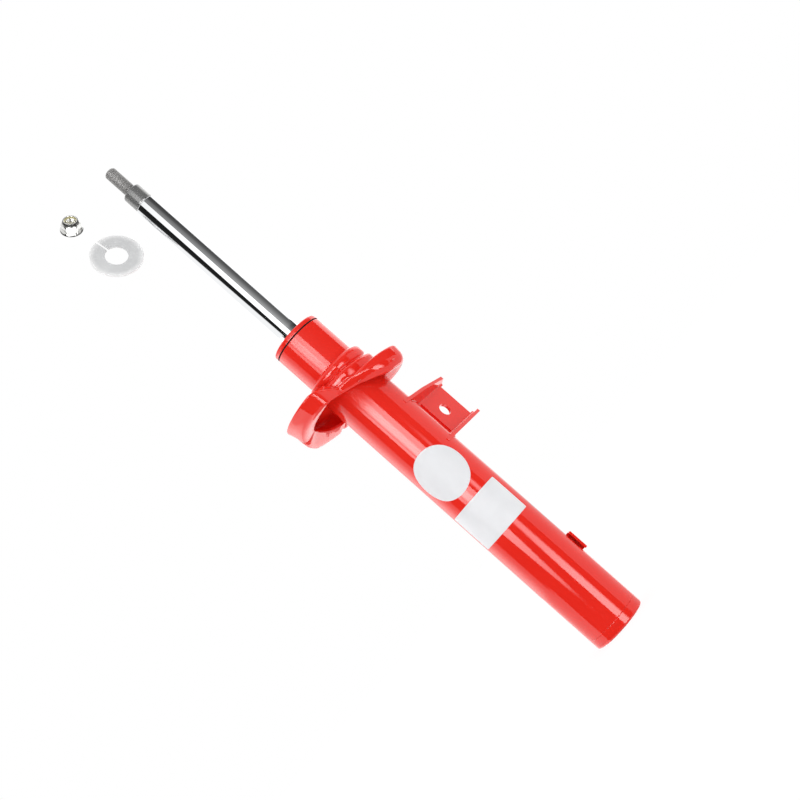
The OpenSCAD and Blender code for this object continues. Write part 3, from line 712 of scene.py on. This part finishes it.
# ---- The rod -------------------------------------------------------------------------------
# One bar of hardened steel, ground and hard-chromed where it slides through the seal. Above the
# chrome it has a plain shoulder for the top mount and a rolled M12 thread for the nut.
rod_low, rod_high = span("piston_rod")
stud_r, stud_h, groove_h, shoulder_h, shoulder_r = 6.0, 25, 3, 18, 9.75
stud_low = rod_high - stud_h
shoulder_high = stud_low - groove_h
chrome_high = shoulder_high - shoulder_h
spigot_r, spigot_high = 6, 268
pitch, thread_depth, tip = 1.25, 0.16, 1.6
steps = 128
turn = np.arange(steps)[:, None] / steps


def thread(height, turn):
    """A thread's wave from 0 to 1: a triangle wave of height / pitch less the turn round the circle,
    so that it climbs one pitch a turn."""
    return 2 * np.abs((height / pitch - turn) % 1 - 0.5)


heights = np.linspace(stud_low + 0.4, rod_high - tip, 260)
depths = thread_depth * thread(heights, turn) * bump(heights, stud_low + 1.4, rod_high - tip, 0.8)
threaded = np.stack([stud_r - 0.02 - depths, heights + 0 * turn], -1)

# Below the thread are the piston's spigot, the chromed length, the shoulder and the runout groove
below = np.array([
    [0, rod_low], [spigot_r - 1, rod_low], [spigot_r, rod_low + 1], [spigot_r, spigot_high],
    [rod_r, spigot_high],
    [rod_r, chrome_high - 0.9], [rod_r - 0.15, chrome_high - 0.35], [rod_r - 0.7, chrome_high],
    [shoulder_r + 0.1, chrome_high], [shoulder_r - 0.7, chrome_high + 0.25],
    [shoulder_r - 0.7, chrome_high + 1.1], [shoulder_r, chrome_high + 1.8],
    [shoulder_r, shoulder_high - 1.5], [shoulder_r - 0.3, shoulder_high - 0.9],
    [shoulder_r - 1.4, shoulder_high], [stud_r - 0.6, shoulder_high], [stud_r - 1, shoulder_high + 0.5],
    [stud_r - 1, stud_low - 1], [stud_r - 0.4, stud_low],
])
over = np.array([[stud_r - 1.2, rod_high - 0.3], [stud_r - 1.7, rod_high], [0, rod_high]])
whole = np.concatenate([varying(below, steps), threaded, varying(over, steps)], 1)
rod = turned("chromed_rod", whole, steps, crease=60, closed=False)

rod_steel, tree, shader = material("rod_steel", Metallic=1.0)
height = add(tree, "ShaderNodeSeparateXYZ", (-1100, 0))
tree.links.new(add(tree, "ShaderNodeTexCoord", (-1300, 0)).outputs["Object"], height.inputs[0])


def past(tree, z, at):
    """A mask that is 1 above the height z, in millimetres."""
    node = add(tree, "ShaderNodeMath", at, operation="GREATER_THAN")
    node.inputs[1].default_value = z * mm
    tree.links.new(height.outputs["Z"], node.inputs[0])
    return node.outputs[0]


grain = effect(tree, uneven, (-1100, -300), **{"Drift Scale": 60.0})
on_shoulder = past(tree, chrome_high - 0.02, (-900, 200))
on_stud = past(tree, shoulder_high + 0.3, (-900, 0))


def by_height(chrome, shoulder, stud, row, kind="FLOAT"):
    """A colour or value of the rod that changes with height, from chrome to shoulder to stud."""
    lower = blended(tree, on_shoulder, chrome, shoulder, (-500, row), kind)
    return blended(tree, on_stud, lower, stud, (-300, row), kind)


drift = ranged(tree, grain.outputs["Drift"], 0, 1, (-900, -200))
satin = blended(tree, drift, (0.26, 0.26, 0.26), (0.34, 0.34, 0.33), (-700, -100))
dull = blended(tree, drift, (0.20, 0.195, 0.19), (0.27, 0.265, 0.26), (-700, -300))
tree.links.new(by_height((0.80, 0.81, 0.82), satin, dull, 200, "RGBA"), shader.inputs["Base Color"])
tree.links.new(by_height(0.03, 0.22, 0.5, -100), shader.inputs["Roughness"])
tree.links.new(by_height(1.0, 0.55, 0.4, -400), shader.inputs["Metallic"])
fitted(rod, rod_steel, "rod", "hard_chrome", "piston_rod")


# ---- The loose top nut ---------------------------------------------------------------------
# A zinc-plated flange nut with a nylon ring held under its rolled crown. It clamps the top mount
# to the shoulder, and lies beside the rod's end until the strut is fitted.
def mount_at(name):
    """Where the record puts a mount, in millimetres, and a turn from +Z to its axis."""
    found = next(m for m in frame["record"]["mounts"] if m["name"] == name)
    axis = Vector(found["axis"])
    return np.array(found["pos_m"]) / mm, np.array(Vector((0, 0, 1)).rotation_difference(axis).to_matrix())


def own_points(piece):
    """The points of a piece's mesh, in millimetres."""
    points = np.empty(len(piece.data.vertices) * 3, np.float32)
    piece.data.vertices.foreach_get("co", points)
    return points.reshape(-1, 3) / mm


def marked(piece, finish, name, value, colour):
    """Keeps a value from 0 to 1 for each point of a piece, and blends its finish's colour by it."""
    mark = piece.data.attributes.new(name, "FLOAT", "POINT")
    mark.data.foreach_set("value", value.astype(np.float32))
    where = add(finish.node_tree, "ShaderNodeAttribute", (-500, 400), attribute_name=name)
    recoloured(finish, where.outputs["Fac"], colour)


def laid(piece, centre, turn):
    """Turns a piece's mesh by a matrix and puts its origin at centre, in millimetres."""
    moved = (own_points(piece) @ turn.T + centre) * mm
    piece.data.vertices.foreach_set("co", moved.astype(np.float32).ravel())
    piece.data.update()
    return piece


nut_af, flange_r, crown_r, nut_high, crown_top = 16.0, 10.45, 7.1, 9.0, 11.5
minor_r, bore_depth = 5.4, 0.45
steps = 180
turn = np.arange(steps)[:, None] / steps

# The hexagon's radius is half its width over (sum of cos(a - flat)^n)^(1/n), which eases its corners
nut_spin, sharpness = math.radians(24), 36
flats = np.radians(np.arange(0, 360, 60))
facing = np.clip(np.cos(2 * np.pi * turn - nut_spin - flats), 0, 1)
hexed = nut_af / 2 / (facing**sharpness).sum(1) ** (1 / sharpness)
outside = varying((
    (minor_r + 1.0, 0), (flange_r - 0.3, 0), (flange_r, 0.4), (flange_r, 1.1),
    (np.maximum(hexed + 0.9, 8.9), 2.3), (hexed, 3.0), (hexed, nut_high - 0.3 - (hexed - 7.6) * 0.75),
    (7.75, nut_high), (crown_r, nut_high + 0.3), (crown_r, crown_top - 0.7), (crown_r - 0.5, crown_top),
    (minor_r + 0.3, crown_top), (minor_r + 0.1, crown_top - 0.6), (minor_r + 0.9, crown_top - 0.9),
    (minor_r + 0.9, nut_high + 0.1), (minor_r + 0.4, nut_high - 0.2),
), steps)
cuts = [0.3, 0.3, 0.3, 0.4, 0.8, 0.7, 0.5, 0.3, 0.3, 0.7, 0.4, 0.3, 0.2, 0.1, 0.2, 0.1]
heights = np.linspace(nut_high - 0.6, 0.8, 64)
depths = bore_depth * thread(heights, turn) * bump(heights, 1.4, nut_high - 1.2, 0.6)
inner = np.stack([minor_r + depths, heights + 0 * turn], -1)
nut = turned("flange_nut_plated", np.concatenate([softened(outside, cuts, 3), inner], 1), steps, crease=36)
centre, turn_to = mount_at("nut_thread")
seat_of_nut = centre - turn_to @ np.array([0, 0, nut_high / 2])
zinc_plate = surfaced(
    "zinc_plate", (0.62, 0.62, 0.60), (0.78, 0.78, 0.76), (0.1, 0.2),
    fine=700.0, depth=0.06, drift=160.0, Metallic=1.0,
)
# Painted dark reflection: the colour is darkened on the rolled crown and on the flange's edge, for the dark
# surroundings that they mirror
points = own_points(nut)
from_axis, along = np.hypot(points[:, 0], points[:, 1]), points[:, 2]
on_crown = bump(along, nut_high + 0.4, 20, 0.5) * bump(from_axis, minor_r + 1, 8, 0.3)
on_edge = bump(along, -1, 1.3, 0.5) * bump(from_axis, flange_r - 0.9, 12, 0.4)
marked(nut, zinc_plate, "painted_dark_reflection", np.maximum(on_crown, on_edge), (0.07, 0.07, 0.068))
fitted(laid(nut, seat_of_nut, turn_to), zinc_plate, "root", "zinc_plate", "flange_nut")

insert_in, insert_out = minor_r - 0.1, minor_r + 0.88
insert_low, insert_high = nut_high + 0.1, nut_high + 1.5
outline = np.array([
    [insert_in, insert_low], [insert_out, insert_low], [insert_out, insert_high], [insert_in, insert_high],
])
insert = turned("nylon_ring", softened(outline, 0.25), 96)
nylon = surfaced(
    "nylon", (0.62, 0.55, 0.22), (0.78, 0.73, 0.45), (0.35, 0.5),
    fine=1500.0, depth=0.15, drift=200.0,
)
fitted(laid(insert, seat_of_nut, turn_to), nylon, "root", "nylon", "nut_insert")

# ---- The loose split ring ------------------------------------------------------------------
# A spacer moulded in frosted, half-clear plastic and cut through once, so that it can be opened
# over the rod. Its edges are bevelled.
ring_in, ring_out, ring_h, slit = 10.5, 24.25, 2.0, 2.7
centre, turn_to = mount_at("ring_bore")
half = ring_h / 2
across = np.linspace(ring_in + 1, ring_out - 1, 12)
face = np.stack([across, np.full(12, half)], -1)
round_in = np.array([[ring_in, 0.6 * half], [ring_in, -0.6 * half], [ring_in + 0.3, -half]])
round_out = np.array([
    [ring_out - 0.6, -half], [ring_out, -0.4 * half],
    [ring_out, 0.4 * half], [ring_out - 0.5, 0.95 * half],
])
section = np.vstack([round_in, face * [1, -1], round_out, face[::-1]])
slit_az = math.radians(123)
half_slit = np.arcsin(slit / 2 / section[:, 0])[None]
# The section goes round from one side of the slit to the other, whose sides are parallel
sweep = slit_az + half_slit + (2 * np.pi - 2 * half_slit) * np.linspace(0, 1, 241)[:, None]
radius, z = section[:, 0], section[:, 1]
grid = np.stack([radius * np.cos(sweep), radius * np.sin(sweep), z + 0 * sweep], -1)


def gathered(row):
    """A row of points all drawn together to their middle, which closes the end next to it."""
    return np.broadcast_to(row.mean(0), row.shape)[None]


spacer = skin("split_spacer", np.vstack([gathered(grid[0]), grid, gathered(grid[-1])]), (False, True), 50)
frosted = surfaced(
    "frosted_plastic", (0.60, 0.605, 0.61), (0.66, 0.665, 0.67), (0.38, 0.5),
    fine=900.0, depth=0.25, drift=60.0,
)
# Light leaks out of the plastic towards its rim, so it is paler there
points = own_points(spacer)
from_axis = np.hypot(points[:, 0], points[:, 1])
pale_from, pale_to = ring_out - 5, ring_out - 0.5
outward = np.clip((from_axis - pale_from) / (pale_to - pale_from), 0, 1)
marked(spacer, frosted, "pale_edge", outward, (0.86, 0.86, 0.86))
fitted(laid(spacer, centre, turn_to), frosted, "root", "frosted_plastic", "split_ring")

# ---- Inside the tube -----------------------------------------------------------------------
# The damper's own pieces, hidden until it is opened: the guide, bush and seal round the rod, the
# piston with its valves, the pressure tube and the foot valve. Most keep their plain solids.
steel = surfaced(
    "plain_steel", (0.50, 0.51, 0.52), (0.60, 0.61, 0.62), (0.22, 0.34),
    fine=1600.0, depth=0.2, drift=90.0, Metallic=1.0,
)
spring = surfaced(
    "spring_steel", (0.42, 0.43, 0.45), (0.52, 0.53, 0.55), (0.2, 0.3),
    fine=1800.0, depth=0.15, drift=120.0, Metallic=1.0,
)
cast = surfaced(
    "cast_aluminium", (0.60, 0.60, 0.61), (0.72, 0.72, 0.73), (0.4, 0.55),
    fine=1100.0, depth=0.5, drift=70.0, Metallic=1.0,
)
sintered = surfaced(
    "sintered_iron", (0.22, 0.21, 0.20), (0.31, 0.30, 0.29), (0.5, 0.65),
    fine=2400.0, depth=0.6, drift=90.0, Metallic=1.0,
)
bronze = surfaced(
    "bronze_bush", (0.50, 0.37, 0.20), (0.60, 0.47, 0.28), (0.3, 0.42),
    fine=1500.0, depth=0.2, drift=90.0, Metallic=1.0,
)
filled = surfaced(
    "filled_ptfe", (0.08, 0.08, 0.08), (0.12, 0.12, 0.12), (0.45, 0.6),
    fine=1400.0, depth=0.2, drift=90.0,
)
for finish, nodes in (
    (steel, ("pressure_tube", "base_valve_bolt", "base_valve_nut", "compression_shims", "intake_plate",
             "rebound_stop", "check_retainer", "check_plate", "rebound_shims", "clamp_washer",
             "piston_nut")),
    (spring, ("garter_spring",)),
    (cast, ("rod_guide", "base_valve_body")),
    (sintered, ("piston",)),
    (bronze, ("guide_bush",)),
    (filled, ("piston_band",)),
):
    for node in nodes:
        finish_node(node, finish)

# The two valve springs are thin dished discs, each held at its top. The real ones flatten as their plates
# lift; here each is a fixed copy with eased edges and its own mesh.
for node, body, joint in (
    ("check_spring", "rod", "check_valve_lift"),
    ("intake_spring", "root", "intake_valve_lift"),
):
    washer = fitted(eased_copy(node + "_disc", node, 0.05), spring, body, "spring_steel", node)
    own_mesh(washer)

bpy.context.view_layer.update()
